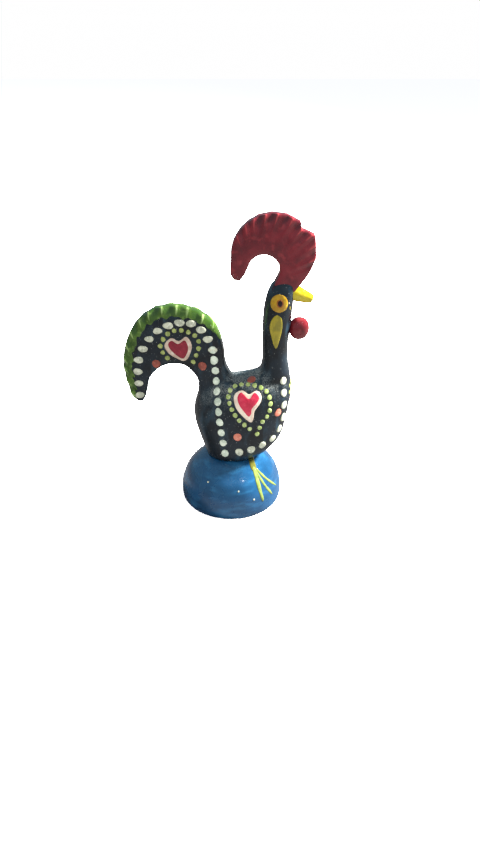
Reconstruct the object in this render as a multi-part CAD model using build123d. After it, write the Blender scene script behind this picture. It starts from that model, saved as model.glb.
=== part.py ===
"""Folk rooster ornament: a painted clay rooster that stands on a hollow bell-shaped foot.

Lengths are millimetres. +X is the way the rooster faces, +Y is its left and +Z is up.
Each piece is drawn from the axis of the foot. The figure as a whole then has its origin on
the table, midway between the back of the tail and the front of the comb.
"""

from build123d import *
from math import cos, pi, radians, sin
import os

os.makedirs("parts", exist_ok=True)

# Foot: a thrown bell, open below
foot_radius = 17.7
foot_height = 18.0
foot_wall = 3.6
foot_crown_wall = 5.0

# Body: one lump of clay, from its seat on the foot to the crown of the head
back_height = 46.4
crown_height = 77.6
chest_reach = 20.4
rump_reach = 12.5
body_half_width = 10.2
neck_centre = 14.8
neck_half_length = 4.6
neck_half_width = 4.7

# Comb: a crescent slab on the crown. Places are from the neck's centre and from the crown
comb_radius = 12.9
comb_back_shift = 1.7
comb_rise = 9.0
comb_hook_radius = 5.05
comb_hook_back = 4.6
comb_hook_rise = 5.4
comb_hook_top_angle = 64.0
comb_hook_root_angle = -35.0
comb_tip_back = 12.7
comb_tip_rise = 1.6
comb_root_half_thickness = 2.9
comb_rim_half_thickness = 1.9
comb_root_back = 1.4
comb_root_front = 6.0
comb_root_depth = 1.6
comb_root_lip = 0.8
comb_front_angle = -3.0
comb_tooth_angle = 29.0
comb_notch_angle = 44.5
comb_crest_angle = 52.5
comb_back_angle = 188.0
comb_tooth_radius = 13.7
comb_notch_radius = 11.7
brow_pinches = 2
comb_pinches = 11
comb_pinch_length = 5.0
comb_pinch_radius = 1.7
comb_pinch_depth = 1.2

# Tail: a crescent slab that grows out of the rump, with a pinched frill on its rim
tail_reach = 35.2
tail_front = 1.4
tail_rise = 23.9
tail_tip_drop = 9.0
tail_root_half_thickness = 4.4
tail_rim_half_thickness = 2.3
frill_width = 4.0
frill_pinches = 15
frill_pinch_length = 3.0
frill_pinch_radius = 1.8
frill_pinch_depth = 1.2

# Beak: a short blunt cone, set in the face below the crown
beak_length = 6.7
beak_root_radius = 2.6
beak_tip_radius = 1.4
beak_forward = 4.8
beak_drop = 3.4
beak_droop_angle = 13.0

# Wattle: one pressed pellet of clay on the throat
wattle_half_length = 3.9
wattle_half_width = 2.9
wattle_half_height = 3.7
wattle_forward = 6.6
wattle_drop = 14.3

# Thick enamel: the eyes, ear lobes and hearts stand proud of the clay
paint_thickness = 0.3
flank_heart_width = 9.0
flank_heart_height = 10.4
tail_heart_width = 8.6
tail_heart_height = 8.2
eye_radius = 2.7
eye_drop = 4.7
ear_lobe_width = 3.8
ear_lobe_height = 11.3
ear_lobe_drop = 8.2

# Points round each level oval of the body
oval_points = 8
# How far cutters and limits reach past what they cut
overrun = 2.0


def face_within(*lines):
    """The face that these lines close round."""
    return make_face([edge for line in lines for edge in line.edges()])


def polar(length, angle):
    """A vector in the plane of an outline."""
    return Vector(length * cos(radians(angle)), length * sin(radians(angle)))


def upright(outline, half_thickness):
    """A slab on the mid-plane from an outline drawn in X and Z."""
    return extrude(Plane.XZ * outline, half_thickness, both=True)


def ring(height, rear, front, half_width):
    """A level oval section, as a face."""
    middle = (rear + front) / 2
    half_length = (front - rear) / 2
    turns = [2 * pi * step / oval_points for step in range(oval_points)]
    points = [(middle + half_length * cos(a), half_width * sin(a), height) for a in turns]
    return make_face(Spline(*points, periodic=True))


# Shares of: the height from seat to back, the rump's reach, the chest's reach, the half width
body_ring_shares = (
    (0.00, 0.68, 0.46, 0.84),
    (0.08, 0.74, 0.66, 0.91),
    (0.24, 0.86, 0.84, 0.97),
    (0.45, 0.98, 0.92, 1.00),
    (0.65, 0.99, 0.96, 0.98),
    (0.81, 0.87, 0.99, 0.90),
    (0.92, 0.59, 0.99, 0.75),
    (0.98, 0.20, 0.98, 0.61),
)
# Shares of: the height from back to crown, the neck's half length behind and before its centre,
# the neck's half width
neck_ring_shares = (
    (0.03, 2.00, 1.06, 1.16),
    (0.09, 1.20, 1.00, 1.07),
    (0.20, 0.98, 0.87, 1.02),
    (0.36, 1.00, 0.83, 0.98),
    (0.54, 1.00, 0.96, 0.98),
    (0.72, 0.93, 1.05, 1.00),
    (0.86, 0.74, 1.14, 0.96),
    (0.95, 0.48, 1.16, 0.80),
    (1.00, 0.15, 0.95, 0.45),
)


def make_body(coat=0):
    """Body, neck and head in one lump, lofted through level ovals, with a coat of this thickness."""
    body_rise = back_height - foot_height
    neck_rise = crown_height - back_height
    rings = []
    for up, rear, front, side in body_ring_shares:
        height = foot_height + up * body_rise
        rump = -rear * rump_reach - coat
        chest = front * chest_reach + coat
        rings.append(ring(height, rump, chest, side * body_half_width + coat))
    for up, rear, front, side in neck_ring_shares:
        height = back_height + up * neck_rise
        back = neck_centre - rear * neck_half_length - coat
        face = neck_centre + front * neck_half_length + coat
        rings.append(ring(height, back, face, side * neck_half_width + coat))
    return loft(rings)


# Shares of the foot's radius and of its height, up the outside of the bell
bell_shares = ((0.97, 0.0), (1.0, 0.20), (0.97, 0.45), (0.85, 0.70), (0.67, 0.87), (0.52, 1.0))


def bell(radius, height):
    """A solid bell of this size, turned about the foot's axis."""
    points = [(share_r * radius, share_z * height) for share_r, share_z in bell_shares]
    closing = Polyline(points[-1], (0, height), (0, 0), points[0])
    return revolve(Plane.XZ * face_within(Spline(*points), closing), Axis.Z)


def make_foot():
    """Bell-shaped foot with an even wall, open at the ground."""
    return bell(foot_radius, foot_height) - bell(foot_radius - foot_wall, foot_height - foot_crown_wall)


# Where the pinches begin and end, as shares along each rim
brow_pinch_shares = (0.20, 0.90)
comb_pinch_shares = (0.06, 0.84)
frill_pinch_shares = (0.28, 0.90)


def pinches(rim, span_shares, count, length, radius, depth, half_thickness):
    """Finger pinches between two shares of a rim, from its two faces in turn.

    Each is a round groove that is deepest at the rim and runs out inward.
    """
    cutters = []
    first, last = span_shares
    slope = Vector(length, depth).normalized()
    for step in range(count):
        share = first + (last - first) * step / (count - 1)
        along = rim % share
        outward = Vector(along.Y, -along.X)
        edge = rim @ share
        side = 1 if step % 2 else -1
        offset = side * (half_thickness + radius - depth)
        axis = Vector(outward.X * slope.X, -side * slope.Y, outward.Y * slope.X)
        groove = Plane(origin=(edge.X, offset, edge.Y), z_dir=axis)
        cutters.append(groove * Cylinder(radius, 2 * length))
    return cutters


def comb_rims():
    """Outer curves of the comb: the brow up to its tooth, the notch, and the long arc."""
    centre = Vector(neck_centre - comb_back_shift, crown_height + comb_rise)
    tooth = centre + polar(comb_tooth_radius, comb_tooth_angle)
    brow_angle = (comb_front_angle + comb_tooth_angle) / 2
    top_angle = (comb_crest_angle + comb_back_angle) / 2
    brow = ThreePointArc(
        centre + polar(comb_radius, comb_front_angle),
        centre + polar(comb_radius, brow_angle),
        tooth,
    )
    arc = ThreePointArc(
        centre + polar(comb_radius, comb_crest_angle),
        centre + polar(comb_radius, top_angle),
        centre + polar(comb_radius, comb_back_angle),
    )
    notch = centre + polar(comb_notch_radius, comb_notch_angle)
    return brow, Polyline(tooth, notch, arc @ 0), arc


def comb_outline(rims):
    """Crescent of the comb, with its root let into the crown."""
    brow, notch, arc = rims
    hook = Vector(neck_centre - comb_hook_back, crown_height + comb_hook_rise)
    tip = Vector(neck_centre - comb_tip_back, crown_height + comb_tip_rise)
    hook_rear = hook - Vector(comb_hook_radius, 0)
    hook_root = hook + polar(comb_hook_radius, comb_hook_root_angle)
    end = Spline(arc @ 1, tip, hook_rear, tangents=[arc % 1, polar(1, 90)])
    inner = ThreePointArc(hook_rear, hook + polar(comb_hook_radius, comb_hook_top_angle), hook_root)
    back = neck_centre - comb_root_back
    front = neck_centre + comb_root_front
    sole = crown_height - comb_root_depth
    root = Polyline(
        hook_root,
        (back, crown_height),
        (back, sole),
        (front - comb_root_depth, sole),
        (front, crown_height + comb_root_lip),
        brow @ 0,
    )
    return face_within(brow, notch, arc, end, inner, root)


def make_comb():
    """The comb's slab: thin at the rim and pinched all round."""
    rims = comb_rims()
    top = crown_height + comb_rise + comb_radius + overrun
    sole = crown_height - comb_root_depth
    taper = Polygon(
        (-comb_root_half_thickness, sole),
        (comb_root_half_thickness, sole),
        (comb_rim_half_thickness, top),
        (-comb_rim_half_thickness, top),
        align=None,
    )
    reach = 2 * (neck_centre + comb_radius)
    slab = upright(comb_outline(rims), comb_root_half_thickness + overrun)
    slab = slab & extrude(Plane.YZ * taper, reach, both=True)
    size = (comb_pinch_length, comb_pinch_radius, comb_pinch_depth, comb_rim_half_thickness)
    brow, notch, arc = rims
    slab = slab - pinches(brow, brow_pinch_shares, brow_pinches, *size)
    return slab - pinches(arc, comb_pinch_shares, comb_pinches, *size)


# Shares of the tail's length behind its front edge, and of its height above the tip
tail_rim_shares = (
    (-0.10, 0.22),
    (0.0, 0.40),
    (0.03, 0.62),
    (0.12, 0.83),
    (0.28, 0.955),
    (0.50, 1.0),
    (0.70, 0.955),
    (0.86, 0.82),
    (0.965, 0.61),
    (1.0, 0.39),
    (0.96, 0.14),
    (0.885, 0.0),
)
tail_tip_shares = ((0.885, 0.0), (0.82, 0.03), (0.785, 0.14), (0.75, 0.28))
tail_hook_shares = ((0.75, 0.28), (0.51, 0.46), (0.28, 0.25))
tail_root_shares = ((0.28, 0.25), (0.29, 0.08), (0.0, 0.08), (-0.10, 0.22))
# Shares along the rim where the frill is set in, and of the frill's width there
frill_inset_shares = (
    (0.20, 0.0),
    (0.29, 0.50),
    (0.40, 0.68),
    (0.55, 0.72),
    (0.70, 0.92),
    (0.84, 0.98),
    (0.96, 0.0),
)


def tail_places(shares):
    """Points of the tail from shares of its length and height."""
    length = tail_reach - tail_front
    height = tail_rise + tail_tip_drop
    tip = back_height - tail_tip_drop
    return [Vector(-tail_front - x * length, tip + z * height) for x, z in shares]


def plume_limit(rim):
    """Outline round everything that lies inside the frill."""
    seam = []
    for share, inset in frill_inset_shares:
        along = rim % share
        inward = Vector(-along.Y, along.X)
        seam.append(rim @ share + inward * inset * frill_width)
    low = back_height - tail_tip_drop - overrun
    closing = Polyline(
        seam[-1],
        (-tail_reach - overrun, seam[-1].Y),
        (-tail_reach - overrun, low),
        (tail_front + overrun, low),
        (tail_front + overrun, seam[0].Y),
        seam[0],
    )
    return face_within(Spline(*seam), closing)


def tail_slab(rim, coat=0):
    """The tail's crescent, thinner toward its rim and tip, with a coat of this thickness."""
    tip = Spline(*tail_places(tail_tip_shares))
    hook = ThreePointArc(*tail_places(tail_hook_shares))
    root = Polyline(*tail_places(tail_root_shares))
    outline = face_within(rim, tip, hook, root)
    root_x = tail_front + overrun
    taper = Polygon(
        (root_x, -tail_root_half_thickness - coat),
        (root_x, tail_root_half_thickness + coat),
        (-tail_reach, tail_rim_half_thickness + coat),
        (-tail_reach, -tail_rim_half_thickness - coat),
        align=None,
    )
    slab = upright(outline, tail_root_half_thickness + overrun)
    return slab & extrude(taper, back_height + tail_rise + overrun)


def make_tail(rim):
    """The tail as its plume and the pinched frill round it."""
    grooves = pinches(
        rim,
        frill_pinch_shares,
        frill_pinches,
        frill_pinch_length,
        frill_pinch_radius,
        frill_pinch_depth,
        tail_rim_half_thickness,
    )
    slab = tail_slab(rim) - grooves
    limit = upright(plume_limit(rim), tail_root_half_thickness + overrun)
    return slab & limit, slab - limit


def make_wattle():
    """A pellet of clay, pressed oval."""
    pellet = scale(Sphere(1), by=(wattle_half_length, wattle_half_width, wattle_half_height))
    return Pos(neck_centre + wattle_forward, 0, crown_height - wattle_drop) * pellet


def make_beak():
    """A blunt cone with a rounded tip, drooping a little from the face."""
    blend = beak_length - beak_tip_radius
    profile = face_within(
        Line((beak_root_radius, -overrun), (beak_root_radius, 0)),
        Line((beak_root_radius, 0), (beak_tip_radius, blend)),
        ThreePointArc(
            (beak_tip_radius, blend),
            Vector(0, blend) + polar(beak_tip_radius, 45),
            (0, beak_length),
        ),
        Polyline((0, beak_length), (0, -overrun), (beak_root_radius, -overrun)),
    )
    cone = revolve(Plane.XZ * profile, Axis.Z)
    place = Pos(neck_centre + beak_forward, 0, crown_height - beak_drop)
    return place * Rot(0, 90 + beak_droop_angle, 0) * cone


# Shares of the width and height at the widest swell below a heart's lobes, and of a drop's
# half width midway down to its point
heart_swell_shares = (0.34, -0.125)
drop_swell_share = 0.72


def heart(width, height):
    """A heart about its middle, from two round lobes and two full sides."""
    swell_x, swell_z = heart_swell_shares
    lobe = width / 4
    shoulder = height / 2 - lobe
    lines = []
    for side in (-1, 1):
        outside = Vector(side * width / 2, shoulder)
        top = Vector(side * lobe, shoulder + lobe)
        swell = Vector(side * swell_x * width, swell_z * height)
        lines.append(ThreePointArc((0, shoulder), top, outside))
        lines.append(ThreePointArc(outside, swell, (0, -height / 2)))
    return face_within(*lines)


def drop(width, height):
    """A drop that hangs from its top edge."""
    radius = width / 2
    left = Vector(-radius, -radius)
    right = Vector(radius, -radius)
    point = Vector(0, -height)
    swell = Vector(drop_swell_share * radius, -(radius + height) / 2)
    return face_within(
        ThreePointArc(right, (0, 0), left),
        ThreePointArc(left, (-swell.X, swell.Y), point),
        ThreePointArc(point, swell, right),
    )


def at(place, outline):
    """An outline moved to a place."""
    return Pos(place.X, place.Y) * outline


def raised(layer, outlines):
    """What lies inside these outlines in a layer, on both sides of the figure."""
    return layer & upright(Sketch() + outlines, foot_radius)


# Shares of the body's length from rump to chest, and of its height from seat to back
flank_heart_share = (0.56, 0.76)
# Shares of the tail's length and height
tail_heart_share = (0.45, 0.615)


def body_places(shares):
    """Points of the body's side view from shares of its length and height."""
    length = rump_reach + chest_reach
    height = back_height - foot_height
    return [Vector(-rump_reach + x * length, foot_height + z * height) for x, z in shares]


def make_paint(body, rim):
    """Every raised mark of enamel, by node."""
    body_layer = make_body(paint_thickness) - body
    tail_layer = tail_slab(rim, paint_thickness) - tail_slab(rim)
    head = Vector(neck_centre, crown_height)
    lobe = drop(ear_lobe_width, ear_lobe_height)
    flank_heart = heart(flank_heart_width, flank_heart_height)
    tail_heart = heart(tail_heart_width, tail_heart_height)
    return {
        "eyes": raised(body_layer, [at(head - Vector(0, eye_drop), Circle(eye_radius))]),
        "ear_lobes": raised(body_layer, [at(head - Vector(0, ear_lobe_drop), lobe)]),
        "flank_hearts": raised(body_layer, [at(body_places([flank_heart_share])[0], flank_heart)]),
        "tail_hearts": raised(tail_layer, [at(tail_places([tail_heart_share])[0], tail_heart)]),
    }


if __name__ == "__main__":
    body = make_body()
    beak = make_beak() - body
    tail_rim = Spline(*tail_places(tail_rim_shares))
    plume, frill = make_tail(tail_rim)
    parts = {
        "foot": make_foot(),
        "body_and_neck": body,
        "tail_plume": plume - body,
        "tail_frill": frill - body,
        "comb": make_comb() - body - beak,
        "beak": beak,
        "wattle": make_wattle() - body,
    }
    parts.update(make_paint(body, tail_rim))
    extent = Compound(list(parts.values())).bounding_box()
    middle = (extent.min.X + extent.max.X) / 2
    for name, solid in parts.items():
        export_step(Pos(-middle, 0, 0) * solid, f"parts/{name}.step")
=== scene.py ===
"""Folk rooster ornament in painted clay, dressed for a photograph.

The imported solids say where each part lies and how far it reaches, and the classes hold the rest.
Sizes are in millimetres, and places are measured from the foot's axis, with +X the way the
rooster faces, +Y its left and +Z up. They become metres in the frame only when a mesh is made.
"""

import logging
import math
import random
from dataclasses import dataclass, field
from enum import Enum

import bmesh
import bpy
import numpy as np
from mathutils import Euler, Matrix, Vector
from mathutils.bvhtree import BVHTree


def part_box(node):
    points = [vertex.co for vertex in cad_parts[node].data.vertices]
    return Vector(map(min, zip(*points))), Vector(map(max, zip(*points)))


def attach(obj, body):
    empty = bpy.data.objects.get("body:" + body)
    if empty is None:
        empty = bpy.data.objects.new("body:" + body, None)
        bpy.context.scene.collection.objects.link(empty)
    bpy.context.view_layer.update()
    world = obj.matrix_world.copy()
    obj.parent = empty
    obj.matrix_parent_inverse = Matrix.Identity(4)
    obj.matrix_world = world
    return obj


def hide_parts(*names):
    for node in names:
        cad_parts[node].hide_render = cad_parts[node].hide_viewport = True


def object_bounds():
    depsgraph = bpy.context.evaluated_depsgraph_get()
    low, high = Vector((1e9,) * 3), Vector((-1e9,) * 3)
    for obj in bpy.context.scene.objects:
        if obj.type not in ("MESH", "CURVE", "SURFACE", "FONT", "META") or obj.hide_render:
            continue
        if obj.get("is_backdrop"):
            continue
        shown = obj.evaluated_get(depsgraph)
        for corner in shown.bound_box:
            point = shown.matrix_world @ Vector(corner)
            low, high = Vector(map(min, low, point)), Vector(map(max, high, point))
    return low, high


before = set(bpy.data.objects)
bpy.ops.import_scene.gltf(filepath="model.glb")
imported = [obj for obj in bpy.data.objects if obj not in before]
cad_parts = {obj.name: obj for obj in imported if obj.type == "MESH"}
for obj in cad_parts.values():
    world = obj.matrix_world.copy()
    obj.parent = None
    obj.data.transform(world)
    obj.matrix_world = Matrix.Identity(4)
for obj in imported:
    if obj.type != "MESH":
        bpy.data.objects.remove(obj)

log = logging.getLogger("rooster")

MM = 0.001

Pixel = tuple[float, float]
Pixels = tuple[Pixel, ...]
Place = tuple[float, float, float]
Colour = tuple[float, float, float]
Shares = tuple[tuple[float, ...], ...]
Corners = tuple[int, ...]
Tree = bpy.types.NodeTree
Node = bpy.types.Node
Socket = bpy.types.NodeSocket
Material = bpy.types.Material
Inputs = dict[str | int, Colour | float | Socket]

EVEN: Place = (1.0, 1.0, 1.0)
WHITE: Colour = (1.0, 1.0, 1.0)


class Side(Enum):
    """The two faces of the figure, by the sign of Y."""

    NEAR = -1
    FAR = 1


class Slot(Enum):
    """Material slots of the record."""

    BLACK = "black_enamel"
    GREEN = "green_enamel"
    RED = "red_enamel"
    BLUE = "blue_enamel"
    YELLOW = "yellow_enamel"
    PINK = "pink_enamel"
    CRIMSON = "crimson_enamel"
    CREAM = "cream_enamel"
    LIME = "lime_enamel"
    SALMON = "salmon_enamel"


def smooth_line(points: np.ndarray, count: int, closed: bool = False) -> np.ndarray:
    """Gives evenly spaced points on a smooth curve through given ones.

    Args:
        points: The points that the curve goes through, in any number of dimensions.
        count: How many points to give.
        closed: Whether the curve returns to its first point.

    Returns:
        An array with one row for each point.
    """
    steps_per_span = 24
    knots = np.asarray(points, float)
    if closed:
        knots = np.vstack([knots[-1], knots, knots[:2]])
    else:
        knots = np.vstack([2 * knots[0] - knots[1], knots, 2 * knots[-1] - knots[-2]])
    fine = []
    for a, b, c, d in zip(knots, knots[1:], knots[2:], knots[3:]):
        for t in np.linspace(0, 1, steps_per_span, endpoint=False):
            cubic = (3 * b - a - 3 * c + d) * t**3
            fine.append(0.5 * (2 * b + (c - a) * t + (2 * a - 5 * b + 4 * c - d) * t**2 + cubic))
    fine.append(knots[-2])
    fine = np.array(fine)
    lengths = np.concatenate([[0], np.cumsum(np.linalg.norm(np.diff(fine, axis=0), axis=1))])
    marks = np.linspace(0, lengths[-1], count, endpoint=not closed)
    return np.stack([np.interp(marks, lengths, fine[:, k]) for k in range(fine.shape[1])], axis=1)


def ease(value: np.ndarray) -> np.ndarray:
    """Eases a share from 0 to 1 with level ends."""
    held = np.clip(value, 0, 1)
    return held * held * (3 - 2 * held)


def signed_power(value: np.ndarray, power: float) -> np.ndarray:
    """Raises the size of a value to a power and keeps its sign."""
    return np.sign(value) * np.abs(value) ** power


def polar(centre: Pixel, radius: float, degrees: float) -> Pixel:
    """Gives the point at this angle round a centre."""
    angle = math.radians(degrees)
    return centre[0] + radius * math.cos(angle), centre[1] + radius * math.sin(angle)


def shifted(start: Pixel, points: Shares) -> list[Pixel]:
    """Gives points that are measured from a start."""
    return [(start[0] + x, start[1] + z) for x, z in points]


def skin_faces(rings: int, around: int, start: int = 0) -> list[Corners]:
    """Joins rings of corners into a skin with a fan on each end.

    Args:
        rings: How many rings.
        around: How many corners in each ring.
        start: Number of the first corner.

    Returns:
        The faces. The middles of the two fans are the corners after the last ring.
    """
    faces = []
    for row in range(rings - 1):
        low, high = start + row * around, start + (row + 1) * around
        for place in range(around):
            beside = (place + 1) % around
            faces.append((low + place, low + beside, high + beside, high + place))
    first, top = start + rings * around, start + (rings - 1) * around
    for place in range(around):
        beside = (place + 1) % around
        faces.append((first, start + beside, start + place))
        faces.append((first + 1, top + place, top + beside))
    return faces


@dataclass(frozen=True)
class Sizes:
    """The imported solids' own sizes.

    Attributes:
        axis_x: The foot's axis in the frame.
    """

    axis_x: float

    def low(self, node: str) -> np.ndarray:
        """Gives the lowest corner of a node."""
        return np.array(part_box(node)[0]) / MM - (self.axis_x, 0, 0)

    def high(self, node: str) -> np.ndarray:
        """Gives the highest corner of a node."""
        return np.array(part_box(node)[1]) / MM - (self.axis_x, 0, 0)

    def middle(self, node: str) -> np.ndarray:
        """Gives the middle of a node's box."""
        return (self.low(node) + self.high(node)) / 2


@dataclass
class Lump:
    """A closed mesh.

    Attributes:
        vertices: One row for each corner.
        faces: The corners of each face.
        relief: For each corner 0 in a pinched hollow, 2 on a ridge and 1 elsewhere.
    """

    vertices: np.ndarray
    faces: list[Corners]
    relief: np.ndarray | None = None

    @staticmethod
    def tube(rows: np.ndarray, relief: np.ndarray | None = None) -> "Lump":
        """Closes rings of points into a skin with a fan on each end.

        Args:
            rows: Rings of points, as an array of ring, place in the ring and axis.
            relief: A share for each of these points.

        Returns:
            The closed lump.
        """
        ends = np.array([rows[0].mean(axis=0), rows[-1].mean(axis=0)])
        if relief is not None:
            relief = np.concatenate([relief.reshape(-1), np.ones(2)])
        return Lump(np.vstack([rows.reshape(-1, 3), ends]), skin_faces(*rows.shape[:2]), relief)

    def joined(self, other: "Lump") -> "Lump":
        """Puts two lumps into one mesh.

        Args:
            other: The other lump.

        Returns:
            Both lumps as one.
        """
        shift = len(self.vertices)
        moved = [tuple(corner + shift for corner in face) for face in other.faces]
        return Lump(np.vstack([self.vertices, other.vertices]), self.faces + moved)


@dataclass
class Workshop:
    """Makes Blender objects from lumps and seats them in the frame.

    Attributes:
        sizes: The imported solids' sizes.
    """

    sizes: Sizes

    def mesh(self, name: str, lump: Lump) -> bpy.types.Mesh:
        """Makes a smooth-shaded mesh in metres with its faces turned outward.

        Args:
            name: Its name.
            lump: Its shape.

        Returns:
            The mesh.
        """
        place = (lump.vertices + (self.sizes.axis_x, 0, 0)) * MM
        mesh = bpy.data.meshes.new(name)
        mesh.from_pydata(place.tolist(), [], lump.faces)
        shell = bmesh.new()
        shell.from_mesh(mesh)
        bmesh.ops.recalc_face_normals(shell, faces=shell.faces)
        shell.to_mesh(mesh)
        shell.free()
        if lump.relief is not None:
            layer = mesh.attributes.new("relief", "FLOAT", "POINT")
            layer.data.foreach_set("value", lump.relief.astype(np.float32))
        mesh.shade_smooth()
        return mesh

    def piece(
        self, name: str, lump: Lump, material: Material, slot: Slot, nodes: tuple[str, ...] = ()
    ) -> None:
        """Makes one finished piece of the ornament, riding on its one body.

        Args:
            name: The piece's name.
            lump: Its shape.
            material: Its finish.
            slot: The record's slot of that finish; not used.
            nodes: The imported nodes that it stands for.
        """
        thing = bpy.data.objects.new(name, self.mesh(name, lump))
        thing.data.materials.append(material)
        bpy.context.scene.collection.objects.link(thing)
        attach(thing, "root")
        if nodes:
            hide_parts(*nodes)
        log.info("%s: %d faces", name, len(lump.faces))

    def fused(self, lump: Lump, voxel: float) -> Lump:
        """Melts overlapping lumps into one skin.

        Args:
            lump: The overlapping lumps, in one mesh.
            voxel: The grain of the new skin.

        Returns:
            The single closed skin.
        """
        thing = bpy.data.objects.new("melt", self.mesh("melt", lump))
        bpy.context.scene.collection.objects.link(thing)
        change = thing.modifiers.new("melt", "REMESH")
        change.mode = "VOXEL"
        change.voxel_size = voxel * MM
        view = bpy.context.evaluated_depsgraph_get()
        skin = bpy.data.meshes.new_from_object(thing.evaluated_get(view))
        place = np.empty(3 * len(skin.vertices))
        skin.vertices.foreach_get("co", place)
        faces = [tuple(face.vertices) for face in skin.polygons]
        bpy.data.objects.remove(thing)
        return Lump(place.reshape(-1, 3) / MM - (self.sizes.axis_x, 0, 0), faces)


def relaxed(lump: Lump, weight: np.ndarray, rounds: int) -> Lump:
    """Smooths a skin as wet fingers do.

    Args:
        lump: The skin.
        weight: How far each corner follows its neighbours in one round, 0 to 1.
        rounds: How many times the fingers pass.

    Returns:
        The smoothed skin.
    """
    pairs = np.array([(a, b) for f in lump.faces for a, b in zip(f, f[1:] + f[:1])])
    here, beside = pairs.T
    place = lump.vertices.copy()
    size = len(place)
    count = np.bincount(here, minlength=size)[:, None]
    for _ in range(rounds):
        total = [np.bincount(here, place[beside, axis], size) for axis in range(3)]
        place += weight[:, None] * (np.stack(total, axis=1) / count - place)
    return Lump(place, lump.faces)


@dataclass(frozen=True)
class PhotoCamera:
    """The photograph's viewpoint.

    Attributes:
        axis_x: The foot's axis in the frame.
        place: Where the camera stands from the foot's axis.
        pitch: How far it looks down, in degrees.
        focal_px: Its focal length in pixels of the photograph.
        width_px: Width of the photograph.
        height_px: Height of the photograph.
    """

    axis_x: float
    place: Place = (3.1, -201.0, 143.0)
    pitch: float = 30.0
    focal_px: float = 669.0
    width_px: float = 480.0
    height_px: float = 853.0

    def ray(self, pixel: Pixel) -> tuple[Vector, Vector]:
        """Gives the line of sight through a pixel.

        Args:
            pixel: The pixel.

        Returns:
            Where the line starts, from the foot's axis, and its direction.
        """
        right = pixel[0] - self.width_px / 2
        up = self.height_px / 2 - pixel[1]
        look = Vector((right, up, -self.focal_px))
        look.rotate(Euler((math.radians(90 - self.pitch), 0, 0)))
        return Vector(self.place), look.normalized()

    def build(self) -> None:
        """Sets up the scene's camera."""
        data = bpy.data.cameras.new("photo_camera")
        data.lens = data.sensor_width * self.focal_px / self.height_px
        data.clip_start = 10 * MM
        camera = bpy.data.objects.new("photo_camera", data)
        x, y, z = self.place
        camera.location = Vector((x + self.axis_x, y, z)) * MM
        camera.rotation_euler = (math.radians(90 - self.pitch), 0, 0)
        bpy.context.scene.collection.objects.link(camera)
        bpy.context.scene.camera = camera


def fill(tree: Tree, node: Node, inputs: Inputs) -> None:
    """Fills the inputs of a node.

    Args:
        tree: The nodes that it belongs to.
        node: The node.
        inputs: By name or number, a value, a colour or what another node gives.
    """
    for place, value in inputs.items():
        socket = node.inputs[place]
        if isinstance(value, Socket):
            tree.links.new(value, socket)
        elif socket.type == "RGBA":
            socket.default_value = (*value, 1)
        else:
            socket.default_value = value


def add_node(tree: Tree, kind: str, inputs: Inputs, **settings: str) -> Node:
    """Adds a node.

    Args:
        tree: The nodes to add to.
        kind: Its type's name, without the words that all types share.
        inputs: What goes into it, as in fill.
        settings: Its own settings.

    Returns:
        The node.
    """
    node = tree.nodes.new("ShaderNode" + kind)
    for name, value in settings.items():
        setattr(node, name, value)
    fill(tree, node, inputs)
    return node


def ramp(tree: Tree, value: Socket, low: float, high: float) -> Socket:
    """Spreads a value's part from low to high, in either order, over 0 to 1."""
    inputs = {"Value": value, "From Min": low, "From Max": high}
    return add_node(tree, "MapRange", inputs, interpolation_type="SMOOTHSTEP").outputs["Result"]


def mix(tree: Tree, share: Socket, below: Colour | Socket, above: Colour | Socket) -> Socket:
    """Mixes two colours by a share."""
    inputs = {"Factor": share, 6: below, 7: above}
    return add_node(tree, "Mix", inputs, data_type="RGBA").outputs[2]


def noise(tree: Tree, size: float, stretch: Place = EVEN) -> Socket:
    """Adds a clouded pattern fixed to the object.

    Args:
        tree: The nodes to add to.
        size: Size of its patches.
        stretch: How much longer the patches are along each axis.

    Returns:
        The pattern's value.
    """
    place = add_node(tree, "TexCoord", {}).outputs["Object"]
    scale = tuple(1 / (size * MM * longer) for longer in stretch)
    spread = add_node(tree, "Mapping", {"Vector": place, "Scale": scale}).outputs["Vector"]
    cloud = add_node(tree, "TexNoise", {"Vector": spread, "Scale": 1.0, "Detail": 3.0})
    return cloud.outputs["Fac"]


def new_material(name: str) -> Material:
    """Makes a material with nodes.

    Args:
        name: Its name.

    Returns:
        The material.
    """
    material = bpy.data.materials.new(name)
    material.use_nodes = True
    return material


@dataclass(frozen=True)
class Lamp:
    """One soft box of the studio.

    Attributes:
        name: Its name.
        place: Where it hangs, in metres.
        size: Its width and height, in metres.
        power: Its power in watts.
        colour: Its colour.
        mirrored: Whether the enamel shows it as a highlight.
    """

    name: str
    place: Place
    size: tuple[float, float]
    power: float
    colour: Colour = WHITE
    mirrored: bool = True

    def build(self, target: Vector) -> None:
        """Hangs the lamp.

        Args:
            target: The point that it faces, in metres.
        """
        data = bpy.data.lights.new(self.name, "AREA")
        data.shape = "RECTANGLE"
        data.size, data.size_y = self.size
        data.energy = self.power
        data.color = self.colour
        lamp = bpy.data.objects.new(self.name, data)
        lamp.location = self.place
        lamp.rotation_euler = (target - lamp.location).to_track_quat("-Z", "Y").to_euler()
        lamp.visible_glossy = self.mirrored
        bpy.context.scene.collection.objects.link(lamp)


# The corners of a square, in shares of half its width.
SQUARE = ((-1, -1), (1, -1), (1, 1), (-1, 1))


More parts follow.
